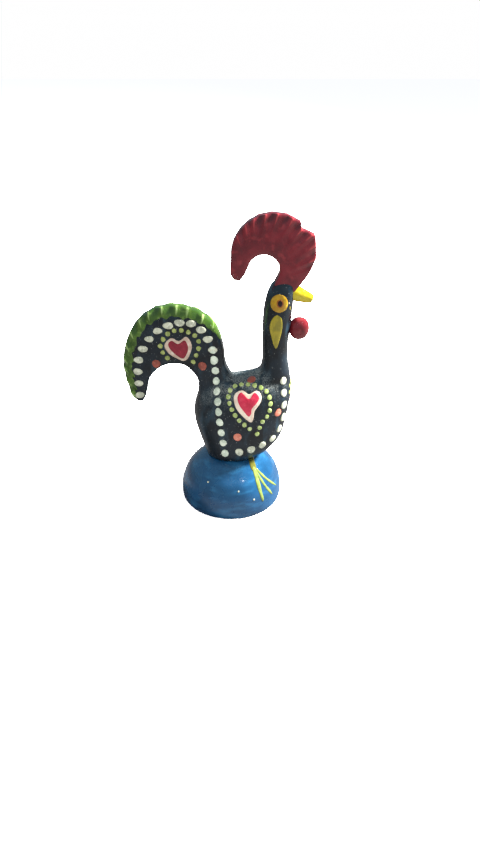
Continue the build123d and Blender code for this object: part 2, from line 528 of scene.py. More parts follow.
@dataclass(frozen=True)
class Studio:
    """Plain pale table and soft light.

    Attributes:
        table_reach: Half the width of the table top, in metres.
        table_grey: How much light the table top sends back.
        shown_grey: How bright the table top looks to the camera.
        glossy_grey: How bright the table top is where the enamel mirrors it.
        sky_strength: Strength of the even light from all round.
        sky_tint: Its colour.
        glossy_sky: Strength of that light where the enamel mirrors it.
        glossy_tint: Its colour there.
        lamps: The soft boxes.
    """

    table_reach: float = 3.0
    table_grey: float = 0.3
    shown_grey: float = 2.8
    glossy_grey: float = 0.10
    sky_strength: float = 0.36
    sky_tint: Colour = (0.95, 0.97, 1.0)
    glossy_sky: float = 0.45
    glossy_tint: Colour = (0.55, 0.85, 1.0)
    lamps: tuple[Lamp, ...] = (
        Lamp("key_window", (0.41, 0.12, 0.37), (0.10, 0.10), 20.0, (1.0, 0.99, 0.97), False),
        Lamp("glint", (0.24, -0.30, 0.42), (0.02, 0.02), 0.15),
        Lamp("front_fill", (-0.05, -0.55, 0.60), (0.30, 0.30), 2.8, (0.97, 0.98, 1.0), False),
    )

    def build(self) -> None:
        """Sets up table, even light and lamps."""
        table = self._table()
        bpy.context.scene.collection.objects.link(table)
        table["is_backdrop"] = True
        self._sky()
        target = sum(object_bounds(), Vector()) / 2
        for lamp in self.lamps:
            lamp.build(target)
        bpy.context.scene.view_settings.view_transform = "Standard"

    def _table(self) -> bpy.types.Object:
        """Makes the table top.

        Returns:
            The table, with its paper.
        """
        mesh = bpy.data.meshes.new("table")
        corners = [(x * self.table_reach, y * self.table_reach, 0) for x, y in SQUARE]
        mesh.from_pydata(corners, [], [(0, 1, 2, 3)])
        paper = new_material("table_paper")
        tree = paper.node_tree
        tree.nodes.remove(tree.nodes["Principled BSDF"])
        greys = (self.table_grey, self.glossy_grey, self.shown_grey)
        looks = [add_node(tree, "BsdfDiffuse", {"Color": (grey, grey, grey)}) for grey in greys]
        self._by_ray(tree, looks, "Material Output")
        mesh.materials.append(paper)
        return bpy.data.objects.new("table", mesh)

    def _sky(self) -> None:
        """Lights the scene evenly, and shows white to the camera."""
        world = bpy.data.worlds.new("studio")
        bpy.context.scene.world = world
        world.use_nodes = True
        tree = world.node_tree
        tree.nodes.remove(tree.nodes["Background"])
        looks = [
            add_node(tree, "Background", {"Color": tint, "Strength": strength})
            for tint, strength in (
                (self.sky_tint, self.sky_strength), (self.glossy_tint, self.glossy_sky), (WHITE, 1.0)
            )
        ]
        self._by_ray(tree, looks, "World Output")

    @staticmethod
    def _by_ray(tree: Tree, looks: list[Node], output: str) -> None:
        """Shows one look to plain light, one to mirroring enamel and one to the camera.

        Args:
            tree: The nodes to add to.
            looks: The three looks, in that order.
            output: Name of the node that they go to.
        """
        path = add_node(tree, "LightPath", {})
        below = looks[0].outputs[0]
        for ray, look in zip(("Is Glossy Ray", "Is Camera Ray"), looks[1:]):
            inputs = {0: path.outputs[ray], 1: below, 2: look.outputs[0]}
            below = add_node(tree, "MixShader", inputs).outputs[0]
        tree.links.new(below, tree.nodes[output].inputs["Surface"])


# Sizes of a finish's patterns, in grains.
PATCH_GRAINS = 2.5
DULL_GRAINS = 1.5
MARK_GRAINS = 0.6
PAINTED_LIGHT_BREAK_GRAINS = 0.7
# Values of the patterns between which one colour gives way to another.
PATCH_RAMP = (0.35, 0.65)
STREAK_START = 0.75
STREAK_FALL = 0.35
STREAK_SOFT = 0.12
# Least and most dullness, in shares of a finish's roughness.
DULL_SHARES = (0.7, 1.4)
COAT_ROUGHNESS = 0.12
# Sizes of the dust's clouds and grit, in flecks.
CLOUD_FLECKS = 9
GRIT_FLECKS = 1.6
# Where dust gathers, by how far a face looks up and by the patterns of specks and clouds.
SLOPE_RAMP = (0.05, 0.80)
SPECK_RAMP = (0.42, 0.62)
CLOUD_RAMP = (0.30, 0.60)
GRIT_SOFT = 0.04
# Below this share of its top height the dust is at its thickest.
DUST_FADE = 0.8
# Relief, broken up by this share of noise, over which the hollows take on a painted shade and the ridges
# a painted highlight.
PAINTED_LIGHT_BREAK_SHARE = 0.5
HOLLOW_SHADE_RAMP = (1.05, 0.45)
RIDGE_HIGHLIGHT_RAMP = (1.50, 2.05)


@dataclass(frozen=True)
class Finish:
    """Brushed enamel on clay.

    Attributes:
        name: The material's name.
        colour: The usual colour.
        shade: Where the brush left it thin or the light is held.
        streak: Where the brush left it thick or dry; on the black it is also a painted sheen.
        grain: Size of a patch of colour.
        streak_stretch: How much longer than wide the streaks are, along each axis.
        streak_share: How much of the surface the streaks take, 0 to 1.
        roughness: How dull the enamel is.
        coat: How much clear gloss lies on it.
        bump: Height of the brush marks.
    """

    name: str
    colour: Colour
    shade: Colour
    streak: Colour
    grain: float = 2.0
    streak_stretch: Place = EVEN
    streak_share: float = 0.35
    roughness: float = 0.3
    coat: float = 0.1
    bump: float = 0.05

    def colours(self, tree: Tree) -> Socket:
        """Lays the brushed colours over each other.

        Args:
            tree: The nodes to add to.

        Returns:
            The colour.
        """
        patches = ramp(tree, noise(tree, PATCH_GRAINS * self.grain), *PATCH_RAMP)
        colour = mix(tree, patches, self.shade, self.colour)
        edge = STREAK_START - STREAK_FALL * self.streak_share
        streaks = noise(tree, self.grain, self.streak_stretch)
        streaks = ramp(tree, streaks, edge - STREAK_SOFT, edge + STREAK_SOFT)
        return mix(tree, streaks, colour, self.streak)

    def material(self) -> Material:
        """Makes the finish's material.

        Returns:
            The material.
        """
        material = new_material(self.name)
        tree = material.node_tree
        low, high = (share * self.roughness for share in DULL_SHARES)
        spots = noise(tree, DULL_GRAINS * self.grain)
        dull = add_node(tree, "MapRange", {"Value": spots, "To Min": low, "To Max": high})
        marks = noise(tree, MARK_GRAINS * self.grain, self.streak_stretch)
        bump = add_node(tree, "Bump", {"Distance": self.bump * MM, "Height": marks})
        look = {
            "Base Color": self.colours(tree),
            "Roughness": dull.outputs["Result"],
            "Coat Weight": self.coat,
            "Coat Roughness": COAT_ROUGHNESS,
            "Normal": bump.outputs["Normal"],
        }
        fill(tree, tree.nodes["Principled BSDF"], look)
        return material


@dataclass(frozen=True)
class DustyFinish(Finish):
    """Enamel whose upward faces have caught grey dust and speckles.

    Attributes:
        dust: Colour of the dust.
        fleck: Size of a speck.
        grit_edge: How much of the noise stays clear of the specks that lie everywhere, 0 to 1.
        dust_top: Height above which no dust lies, in metres.
    """

    dust: Colour = (0.23, 0.25, 0.24)
    fleck: float = 0.28
    grit_edge: float = 0.68
    dust_top: float = 0.066

    def colours(self, tree: Tree) -> Socket:
        """Lays dust over the brushed colours.

        Args:
            tree: The nodes to add to.

        Returns:
            The colour.
        """
        colour = super().colours(tree)
        normal = add_node(tree, "NewGeometry", {}).outputs["Normal"]
        place = add_node(tree, "TexCoord", {}).outputs["Object"]
        upward, level = (
            add_node(tree, "SeparateXYZ", {"Vector": arrow}).outputs["Z"] for arrow in (normal, place)
        )
        dusty = ramp(tree, upward, *SLOPE_RAMP)
        specks = ramp(tree, noise(tree, self.fleck), *SPECK_RAMP)
        clouds = ramp(tree, noise(tree, CLOUD_FLECKS * self.fleck), *CLOUD_RAMP)
        low = ramp(tree, level, self.dust_top, DUST_FADE * self.dust_top)
        for share in (specks, clouds, low):
            dusty = add_node(tree, "Math", {0: dusty, 1: share}, operation="MULTIPLY").outputs[0]
        colour = mix(tree, dusty, colour, self.dust)
        grit = noise(tree, GRIT_FLECKS * self.fleck)
        grit = ramp(tree, grit, self.grit_edge, self.grit_edge + GRIT_SOFT)
        return mix(tree, grit, colour, self.dust)


@dataclass(frozen=True)
class PinchedFinish(Finish):
    """Enamel with a painted shade in the pinched hollows and a painted highlight on the ridges.

    Attributes:
        ridge: Colour of the painted highlight on the ridges.
        hollow: Colour of the painted shade in the hollows.
    """

    ridge: Colour = (0.5, 0.5, 0.5)
    hollow: Colour = (0.1, 0.1, 0.1)

    def colours(self, tree: Tree) -> Socket:
        """Paints shade into the hollows and highlight onto the ridges of the pinches, over the brushed
        colours.

        Args:
            tree: The nodes to add to.

        Returns:
            The colour.
        """
        colour = super().colours(tree)
        relief = add_node(tree, "Attribute", {}, attribute_name="relief").outputs["Fac"]
        painted_light_break = noise(tree, PAINTED_LIGHT_BREAK_GRAINS * self.grain, self.streak_stretch)
        inputs = {0: painted_light_break, 1: PAINTED_LIGHT_BREAK_SHARE, 2: relief}
        broken = add_node(tree, "Math", inputs, operation="MULTIPLY_ADD").outputs[0]
        # Painted shade in the hollows, then painted highlight on the ridges.
        colour = mix(tree, ramp(tree, broken, *HOLLOW_SHADE_RAMP), colour, self.hollow)
        return mix(tree, ramp(tree, broken, *RIDGE_HIGHLIGHT_RAMP), colour, self.ridge)


@dataclass(frozen=True)
class Pinches:
    """A row of hollows that finger and thumb press into a rim, from both faces in turn.

    Attributes:
        first: Share along the rim where they begin.
        last: Share along the rim where they end.
        count: Hollows on each face.
        length: How far in from the rim they run.
        depth: How deep they are at the rim.
        scallop: How far the rim draws in at a hollow.
        seed: Seed of their unevenness.
        stray: How far the hollows' edges stray, in shares of a hollow's length along the rim.
        deeps: Least and most depth of a hollow, in shares of depth.
    """

    first: float
    last: float
    count: int
    length: float
    depth: float
    scallop: float
    seed: int
    stray: float = 0.22
    deeps: tuple[float, float] = (0.5, 1.05)

    def hollow(self, along: np.ndarray, side: Side) -> np.ndarray:
        """Gives how deep the hollows of one face are along the rim.

        Args:
            along: Shares along the rim.
            side: The face.

        Returns:
            Depths from 0 between two hollows to about 1 at the middle of a hollow.
        """
        rng = random.Random(self.seed)
        pitch = (self.last - self.first) / self.count
        strays = [rng.uniform(-self.stray, self.stray) for _ in range(self.count + 1)]
        edges = [self.first + pitch * (k + stray) for k, stray in enumerate(strays)]
        deeps = [rng.uniform(*self.deeps) for _ in range(self.count)]
        offset = 0.5 * pitch if side is Side.FAR else 0.0
        depth = np.zeros_like(along)
        for start, end, deep in zip(edges, edges[1:], deeps):
            across = 2 * (along - offset - start) / (end - start) - 1
            inside = np.abs(across) < 1
            scoop = 0.5 * np.cos(0.5 * math.pi * across) ** 2 + 0.5 * (1 - np.abs(across) ** 2.4)
            depth += np.where(inside, deep * scoop, 0)
        return depth


@dataclass
class Crescent:
    """A curved slab between an outer rim and an inner edge, in the plane of the figure.

    Attributes:
        rim: Points along its outer rim, from root to tip.
        inner: Points along its inner edge, from root to tip.
        root_half: Half its thickness at the root.
        rim_half: Half its thickness where it is farthest from the root.
        thin_axis: The axis along which it grows thinner, 0 for X and 1 for Z.
        thin_from: Where along that axis it is as thick as its root.
        thin_to: Where along that axis it is as thin as its rim.
        pinches: The hollows along its rim.
        squareness: How square its edges are; 2 is an oval.
        tip_share: Share of its length over which the tip rounds off.
        around: How many points lie round the slab.
        press: How much thinner the pinches leave the rim, in shares of their depth.
    """

    rim: np.ndarray
    inner: np.ndarray
    root_half: float
    rim_half: float
    thin_axis: int
    thin_from: float
    thin_to: float
    pinches: Pinches
    squareness: float = 4.6
    tip_share: float = 0.06
    around: int = 72
    press: float = 0.25

    def place(self, rows: np.ndarray, turn: np.ndarray, grow: float) -> tuple[np.ndarray, np.ndarray]:
        """Places points on the slab's skin.

        Args:
            rows: Row numbers of the rim's points, one for each point.
            turn: Angles round the slab, 0 at the rim and pi at the inner edge.
            grow: How far outside the clay the points lie.

        Returns:
            The points, and their relief as in Lump.
        """
        rim, inner = self.rim[rows], self.inner[rows]
        along = rows / (len(self.rim) - 1)
        width = np.linalg.norm(rim - inner, axis=-1)
        hollows = {side: self.pinches.hollow(along, side) for side in Side}
        across = 0.5 + 0.5 * signed_power(np.cos(turn), 2 / self.squareness)
        depth_in = (1 - across) * width
        fall = ease(1 - depth_in / self.pinches.length)
        outward = (rim - inner) / np.maximum(width, 1e-6)[..., None]
        drawn = self.pinches.scallop * (hollows[Side.NEAR] + hollows[Side.FAR]) * fall
        spread = (across * (width + 2 * grow) - grow - drawn)[..., None]
        flat = inner + outward * spread
        far = flat[..., self.thin_axis] - self.thin_from
        thin = np.clip(far / (self.thin_to - self.thin_from), 0, 1)
        half = self.root_half + (self.rim_half - self.root_half) * thin
        tip = np.clip((along - 1 + self.tip_share) / self.tip_share, 0, 1)
        half = half * np.sqrt(np.maximum(1 - tip**2, 0.0))
        half = half - self.press * self.pinches.depth * fall * (along < 1 - self.tip_share)
        side = np.sin(turn)
        wave = 0.5 * self.pinches.depth * (hollows[Side.NEAR] - hollows[Side.FAR]) * fall
        y = (half + grow) * signed_power(side, 2 / self.squareness) + wave
        pressed = np.where(side < 0, hollows[Side.NEAR], hollows[Side.FAR])
        pinched = (along > self.pinches.first) & (along < self.pinches.last)
        relief = 1 + fall * (np.maximum(1 - 2 * pressed, 0) * pinched - pressed)
        return np.stack([flat[..., 0], y, flat[..., 1]], axis=-1), relief

    def lump(self) -> Lump:
        """Makes the whole slab.

        Returns:
            The slab.
        """
        rows = np.arange(len(self.rim) - 1)[:, None] + np.zeros(self.around, int)
        turn = np.linspace(0, 2 * math.pi, self.around, endpoint=False) + np.zeros(rows.shape)
        return Lump.tube(*self.place(rows, turn, 0.0))

    def coat(self, first: float, last: float, inset: np.ndarray, thick: float, sunk: float) -> Lump:
        """Makes a coat of enamel that wraps the rim.

        Args:
            first: Share along the rim where the coat begins.
            last: Share along the rim where it ends.
            inset: How far in from the rim it reaches at each of the rim's points.
            thick: How far it stands off the clay.
            sunk: How far its underside lies in the clay.

        Returns:
            The closed coat.
        """
        count = len(self.rim)
        start, end = int(first * count), int(last * count)
        rows = np.arange(start, end)[:, None] + np.zeros(self.around // 2, int)
        width = np.linalg.norm(self.rim - self.inner, axis=1)
        most = 0.98
        reach = np.clip(inset / np.maximum(width, 1e-6), 0, most)[rows[:, 0]]
        limit = np.arccos(signed_power(1 - 2 * reach, self.squareness / 2))
        fan = np.linspace(-1, 1, self.around // 2)
        turn = limit[:, None] * fan
        outer, relief = self.place(rows, turn, thick)
        under, _ = self.place(rows, turn[:, ::-1], -sunk)
        rings = np.concatenate([outer, under], axis=1)
        return Lump.tube(rings, np.concatenate([relief, relief[:, ::-1]], axis=1))


@dataclass
class Skin:
    """A surface that paint is laid on.

    Attributes:
        lump: The surface's shape.
        tree: Its faces, sorted for rays.
        middle: A point inside the figure.
    """

    lump: Lump
    tree: BVHTree = field(init=False)
    middle: Place = (0.0, 0.0, 45.0)

    def __post_init__(self) -> None:
        """Prepares the surface for rays."""
        self.tree = BVHTree.FromPolygons(self.lump.vertices.tolist(), self.lump.faces)

    def seen(self, camera: PhotoCamera, pixel: Pixel) -> Vector:
        """Gives the point of the surface that a pixel of the photograph shows.

        Args:
            camera: The photograph's camera.
            pixel: The pixel.

        Returns:
            That point, or the nearest one if the pixel just misses the surface.
        """
        start, look = camera.ray(pixel)
        hit = self.tree.ray_cast(start, look)[0]
        if hit is None:
            beside = start + look * (Vector(self.middle) - start).dot(look)
            hit = self.tree.find_nearest(beside)[0]
        return hit

    def nearest(self, place: Vector) -> tuple[Vector, Vector]:
        """Gives the nearest point of the surface and its outward normal."""
        spot, normal, _, _ = self.tree.find_nearest(place)
        return spot, normal


@dataclass
class ClayBody:
    """Body, neck and head in one lump, with the tail grown out of its rump.

    Attributes:
        sizes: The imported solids' sizes.
        back_height: Height of the back.
        neck_half_length: Half the neck's length from back to front.
        neck_half_width: Half the neck's width.
        crown_rise: How far the crown's dome stands into the comb above the solid's.
        voxel: Grain of the melted skin.
        fullness: How full its level ovals are; 2 is a true oval.
        root_line: The tail's root from rear to front, as lengths and heights.
        root_reach: How far from that line the clay is smoothed.
        body_shares: Height, rear, front and half width of the body's ovals, in shares of its own.
        neck_shares: The same for neck and head, whose rear and front are shares of neck_half_length.
    """

    sizes: Sizes
    back_height: float = 46.4
    neck_half_length: float = 4.6
    neck_half_width: float = 4.7
    crown_rise: float = 1.6
    voxel: float = 0.28
    fullness: float = 2.15
    root_line: Shares = ((-11.5, 40.5), (3.0, 46.5))
    root_reach: float = 6.0
    body_shares: Shares = (
        (0.00, 0.68, 0.46, 0.84), (0.08, 0.74, 0.66, 0.91), (0.24, 0.86, 0.84, 0.97),
        (0.45, 0.98, 0.92, 1.00), (0.65, 0.99, 0.96, 0.98), (0.81, 0.87, 0.99, 0.90),
        (0.92, 0.59, 0.99, 0.75), (0.98, 0.20, 0.98, 0.61),
    )
    neck_shares: Shares = (
        (0.03, 2.00, 1.06, 1.16), (0.09, 1.20, 1.00, 1.07), (0.20, 0.98, 0.87, 1.02),
        (0.36, 1.00, 0.83, 0.98), (0.54, 1.00, 0.96, 0.98), (0.72, 0.93, 1.05, 1.00),
        (0.86, 0.74, 1.14, 0.96), (0.95, 0.48, 1.16, 0.80), (0.99, 0.25, 1.00, 0.52),
    )

    def lump(self) -> Lump:
        """Makes body, neck and head from level ovals.

        Returns:
            The lump, without the tail.
        """
        low, high = self.sizes.low("body_and_neck"), self.sizes.high("body_and_neck")
        neck_centre = self.sizes.middle("eyes")[0]
        rows = []
        for up, rear, front, side in self.body_shares:
            height = low[2] + up * (self.back_height - low[2])
            rows.append((height, rear * low[0], front * high[0], side * high[1]))
        for up, rear, front, side in self.neck_shares:
            height = self.back_height + up * (high[2] + self.crown_rise - self.back_height)
            back = neck_centre - rear * self.neck_half_length
            face = neck_centre + front * self.neck_half_length
            rows.append((height, back, face, side * self.neck_half_width))
        rings, around = 260, 96
        height, back, face, half_width = smooth_line(np.array(rows), rings).T[:, :, None]
        turn = np.linspace(0, 2 * math.pi, around, endpoint=False)
        x = (back + face) / 2 + (face - back) / 2 * signed_power(np.cos(turn), 2 / self.fullness)
        y = half_width * signed_power(np.sin(turn), 2 / self.fullness)
        return Lump.tube(np.stack([x, y, height + np.zeros_like(x)], axis=-1))

    def build(self, shop: Workshop, tail: Lump, material: Material) -> Skin:
        """Melts the tail's root into the rump and makes the black clay.

        Args:
            shop: Makes the piece.
            tail: The tail's slab.
            material: The black enamel.

        Returns:
            The surface for the painted marks.
        """
        pull, first_rounds, root_rounds, full_share = 0.5, 4, 90, 1.25
        skin = shop.fused(self.lump().joined(tail), self.voxel)
        skin = relaxed(skin, np.full(len(skin.vertices), pull), first_rounds)
        rear, front = np.array(self.root_line)
        span = front - rear
        flat = skin.vertices[:, [0, 2]] - rear
        share = np.clip(flat @ span / (span @ span), 0, 1)
        away = np.linalg.norm(flat - share[:, None] * span, axis=1)
        skin = relaxed(skin, pull * ease(full_share - away / self.root_reach), root_rounds)
        nodes = ("body_and_neck", "tail_plume")
        shop.piece("black_clay_body", skin, material, Slot.BLACK, nodes)
        return Skin(skin)


@dataclass(frozen=True)
class Dab:
    """What one round touch of the brush leaves.

    Attributes:
        half_width: Half its level width.
        half_height: Half its height along the surface.
        thick: How thick it is.
    """

    half_width: float
    half_height: float
    thick: float


@dataclass(frozen=True)
class Row:
    """Dabs in a row.

    Attributes:
        pixels: Points of their line in the photograph.
        count: How many dabs.
        dab: What each is like.
    """

    pixels: Pixels
    count: int
    dab: Dab


# A dab from its sunken edge to its top, in shares of its outline and of its height.
DOME = ((1.0, -0.25), (1.0, 0.25), (0.95, 0.62), (0.85, 0.85), (0.6, 0.97), (0.3, 1.0))
# A stroke from edge to edge, in shares of its half width and of its height.
BEAD = ((-1, -0.4), (-1, 0.3), (-0.6, 0.85), (0, 1.0), (0.6, 0.85), (1, 0.3), (1, -0.4))


@dataclass
class Brush:
    """Lays dabs of thick enamel on a surface, on both sides of the figure.

    Attributes:
        shop: Makes the pieces.
        camera: Reads places from the photograph.
        skin: The surface.
        seed: Seed of the hand's unevenness.
        twin_drop: How much lower a mark on the back's top lies on the far side.
        vertices: Corners of the enamel laid since the last piece.
        faces: Its faces.
    """

    shop: Workshop
    camera: PhotoCamera
    skin: Skin
    seed: int = 5
    twin_drop: float = 0.0
    vertices: list[Vector] = field(default_factory=list)
    faces: list[Corners] = field(default_factory=list)

    def dab(self, outline: list[Vector], height: float, lift: float = 0.0) -> None:
        """Lays one domed dab.

        Args:
            outline: Points round its edge, near the surface.
            height: Height of its middle.
            lift: How far a first coat already lifts it.
        """
        centre, _ = self.skin.nearest(sum(outline, Vector()) / len(outline))
        start = len(self.vertices)
        for share, rise in DOME:
            for point in outline:
                spot, normal = self.skin.nearest(centre.lerp(point, share))
                self.vertices.append(spot + normal * (height * rise + (lift if rise > 0 else 0)))
        spot, normal = self.skin.nearest(centre)
        self.vertices += [spot - normal * height, spot + normal * (height + lift)]
        self.faces += skin_faces(len(DOME), len(outline), start)

    def both_sides(self, outline: list[Vector], height: float, lift: float = 0.0) -> None:
        """Lays a dab and its twin on the other side, lower where it is high on the back.

        Args:
            outline: Points round the dab's edge, near the surface.
            height: Height of its middle.
            lift: How far a first coat already lifts it.
        """
        self.dab(outline, height, lift)
        middle = sum(outline, Vector()) / len(outline)
        lower = self.twin_drop * max(self.skin.nearest(middle)[1].z, 0.0) ** 2
        twin = [Vector((p.x, lower - p.y, p.z - lower)) for p in reversed(outline)]
        self.dab(twin, height, lift)

    def facing(self, centre: Vector, shares: Shares, size: Pixel) -> list[Vector]:
        """Draws an outline on the front of the chest.

        Args:
            centre: Its middle, in front of the chest.
            shares: Points round its right half, from its notch to its point.
            size: Its full width and height.

        Returns:
            Points round the edge.
        """
        whole = shares + tuple((-y, z) for y, z in shares[-2:0:-1])
        count = 72
        edge = smooth_line(np.array(whole) * size, count, True)
        return [self.skin.nearest(centre + Vector((0, y, z)))[0] for y, z in edge]

    def round_dab(self, centre: Vector, dab: Dab) -> list[Vector]:
        """Draws the uneven edge of one round dab.

        Args:
            centre: Its middle on the surface.
            dab: Its size.

        Returns:
            Points round the edge.
        """
        rng = random.Random(self.seed + round(100 * centre.x) + round(10 * centre.z))
        _, normal = self.skin.nearest(centre)
        level = Vector((0, 0, 1)).cross(normal).normalized()
        upward = normal.cross(level)
        least, most, ripple, count = 0.93, 1.07, 0.07, 20
        size = rng.uniform(least, most)
        wobble = [(rng.uniform(0, ripple), rng.uniform(0, 2 * math.pi)) for _ in range(2)]
        outline = []
        for step in range(count):
            turn = 2 * math.pi * step / count
            waves = [a * math.sin((k + 2) * turn + b) for k, (a, b) in enumerate(wobble)]
            uneven = size * (1 + sum(waves))
            across = level * dab.half_width * uneven * math.cos(turn)
            outline.append(centre + across + upward * dab.half_height * uneven * math.sin(turn))
        return outline

    def spots(self, pixels: Pixels | np.ndarray, dab: Dab) -> None:
        """Lays dabs.

        Args:
            pixels: Their middles in the photograph.
            dab: What each is like.
        """
        for pixel in pixels:
            spot = self.skin.seen(self.camera, tuple(pixel))
            self.both_sides(self.round_dab(spot, dab), dab.thick)

    def row(self, row: Row) -> None:
        """Lays a row of dabs."""
        self.spots(smooth_line(np.array(row.pixels), row.count), row.dab)

    def patch(self, pixels: Pixels, height: float, lift: float = 0.0, count: int = 48) -> None:
        """Lays a patch whose edge is drawn round in the photograph."""
        edge = smooth_line(np.array(pixels), count, True)
        self.both_sides([self.skin.seen(self.camera, tuple(p)) for p in edge], height, lift)

    def stroke(self, pixels: Pixels, halves: Pixel, height: float) -> None:
        """Draws one long stroke, and its twin on the other side.

        Args:
            pixels: Points along it in the photograph.
            halves: Half its width where the brush lands and where it lifts.
            height: How thick the enamel is.
        """
        count, tremble, blunt, least = 26, 0.10, 8, 0.02
        line = [self.skin.seen(self.camera, tuple(p)) for p in smooth_line(np.array(pixels), count)]
        rings = []
        for step, spot in enumerate(line):
            share = step / (len(line) - 1)
            _, normal = self.skin.nearest(spot)
            ahead = line[min(step + 1, len(line) - 1)] - line[max(step - 1, 0)]
            aside = normal.cross(ahead).normalized()
            uneven = 1 + tremble * math.sin(9 * share + spot.x)
            half = halves[0] + (halves[1] - halves[0]) * share
            half *= uneven * math.sqrt(max(1 - (2 * share - 1) ** blunt, least))
            ring = []
            for across, rise in BEAD:
                place, up = self.skin.nearest(spot + aside * half * across)
                ring.append(place + up * height * rise)
            rings.append([tuple(point) for point in ring])
        for mirror in (1, -1):
            lump = Lump.tube(np.array(rings)[:, ::mirror] * (1, mirror, 1))
            self.faces += skin_faces(len(line), len(BEAD), len(self.vertices))
            self.vertices += [Vector(point) for point in lump.vertices]

    def finish(self, name: str, material: Material, slot: Slot, nodes: tuple[str, ...] = ()) -> None:
        """Makes one piece of all the enamel laid since the last one.

        Args:
            name: The piece's name.
            material: Its finish.
            slot: The record's slot of that finish.
            nodes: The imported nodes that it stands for.
        """
        self.shop.piece(name, Lump(np.array(self.vertices), self.faces), material, slot, nodes)
        self.vertices, self.faces = [], []


def oval(centre: Pixel, half_width: float, half_height: float) -> Pixels:
    """Gives eight pixels round an oval."""
    ring = [(math.cos(math.pi * step / 4), math.sin(math.pi * step / 4)) for step in range(8)]
    return tuple((centre[0] + half_width * x, centre[1] + half_height * y) for x, y in ring)


@dataclass
class Tail:
    """The tail's crescent: black plume with a green frill pinched round its rim.

    Attributes:
        sizes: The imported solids' sizes.
        front: Where the tail's front edge stands behind the foot's axis.
        root_half: Half its thickness at the root.
        rim_half: Half its thickness at the rim.
        frill_width: Full width of the frill's enamel.
        frill_coat: Thickness of that enamel.
        frill_sunk: How far its underside lies in the clay.
        top_rise: How far its top stands above the solid's.
        thin_from: How far in front of the foot's axis it starts to grow thinner.
        rim_shares: Its outer rim from root to tip, in shares of its length and height.
        inner_shares: Its inner edge, likewise.
        frill_shares: Along the rim, how wide the frill is, in shares of frill_width.
        pinches: The hollows along its rim.
    """

    sizes: Sizes
    front: float = 1.4
    root_half: float = 4.4
    rim_half: float = 2.3
    frill_width: float = 4.0
    frill_coat: float = 0.12
    frill_sunk: float = 0.5
    top_rise: float = 1.1
    thin_from: float = 3.4
    rim_shares: Shares = (
        (-0.10, 0.22), (0.0, 0.40), (0.03, 0.62), (0.12, 0.83), (0.28, 0.955), (0.50, 1.0),
        (0.70, 0.955), (0.86, 0.82), (0.965, 0.61), (1.0, 0.39), (0.96, 0.14), (0.885, 0.0),
    )
    inner_shares: Shares = (
        (0.29, 0.04), (0.28, 0.235), (0.345, 0.35), (0.43, 0.408), (0.55, 0.412), (0.66, 0.361),
        (0.75, 0.259), (0.785, 0.134), (0.82, 0.03), (0.885, 0.0),
    )
    frill_shares: Shares = (
        (0.20, 0.0), (0.29, 0.50), (0.40, 0.74), (0.55, 0.86), (0.70, 1.12), (0.84, 1.25), (0.93, 0.85),
        (0.985, 0.0),
    )
    pinches: Pinches = Pinches(0.27, 0.95, 12, 4.6, 1.2, 0.15, 11)

    def line(self, shares: Shares, count: int) -> np.ndarray:
        """Draws an edge of the tail.

        Args:
            shares: Its points, in shares of the tail's length and height.
            count: How many points to give.

        Returns:
            The edge's points, as lengths and heights.
        """
        reach = -self.sizes.low("tail_frill")[0] - self.frill_coat
        tip = self.sizes.low("tail_plume")[2]
        top = self.sizes.high("tail_frill")[2] - self.frill_coat + self.top_rise
        points = [(-self.front - x * (reach - self.front), tip + z * (top - tip)) for x, z in shares]
        return smooth_line(np.array(points), count)

    def crescent(self) -> Crescent:
        """Makes the tail's slab.

        Returns:
            The slab.
        """
        count = 620
        rim, inner = (self.line(shares, count) for shares in (self.rim_shares, self.inner_shares))
        halves = (self.root_half, self.rim_half)
        rear = float(rim[:, 0].min())
        return Crescent(rim, inner, *halves, 0, self.thin_from, rear, self.pinches)

    def frill(self, shop: Workshop, material: Material) -> None:
        """Brushes green enamel round the pinched rim.

        Args:
            shop: Makes the piece.
            material: The green enamel.
        """
        slab = self.crescent()
        along = np.linspace(0, 1, len(slab.rim))
        shares = np.array(self.frill_shares)
        wobble = 0.10 * np.sin(95 * along) + 0.08 * np.sin(171 * along + 1)
        inset = np.interp(along, shares[:, 0], shares[:, 1]) * self.frill_width * (1 + wobble)
        lump = slab.coat(shares[0, 0], shares[-1, 0], inset, self.frill_coat, self.frill_sunk)
        shop.piece("tail_frill_enamel", lump, material, Slot.GREEN, ("tail_frill",))


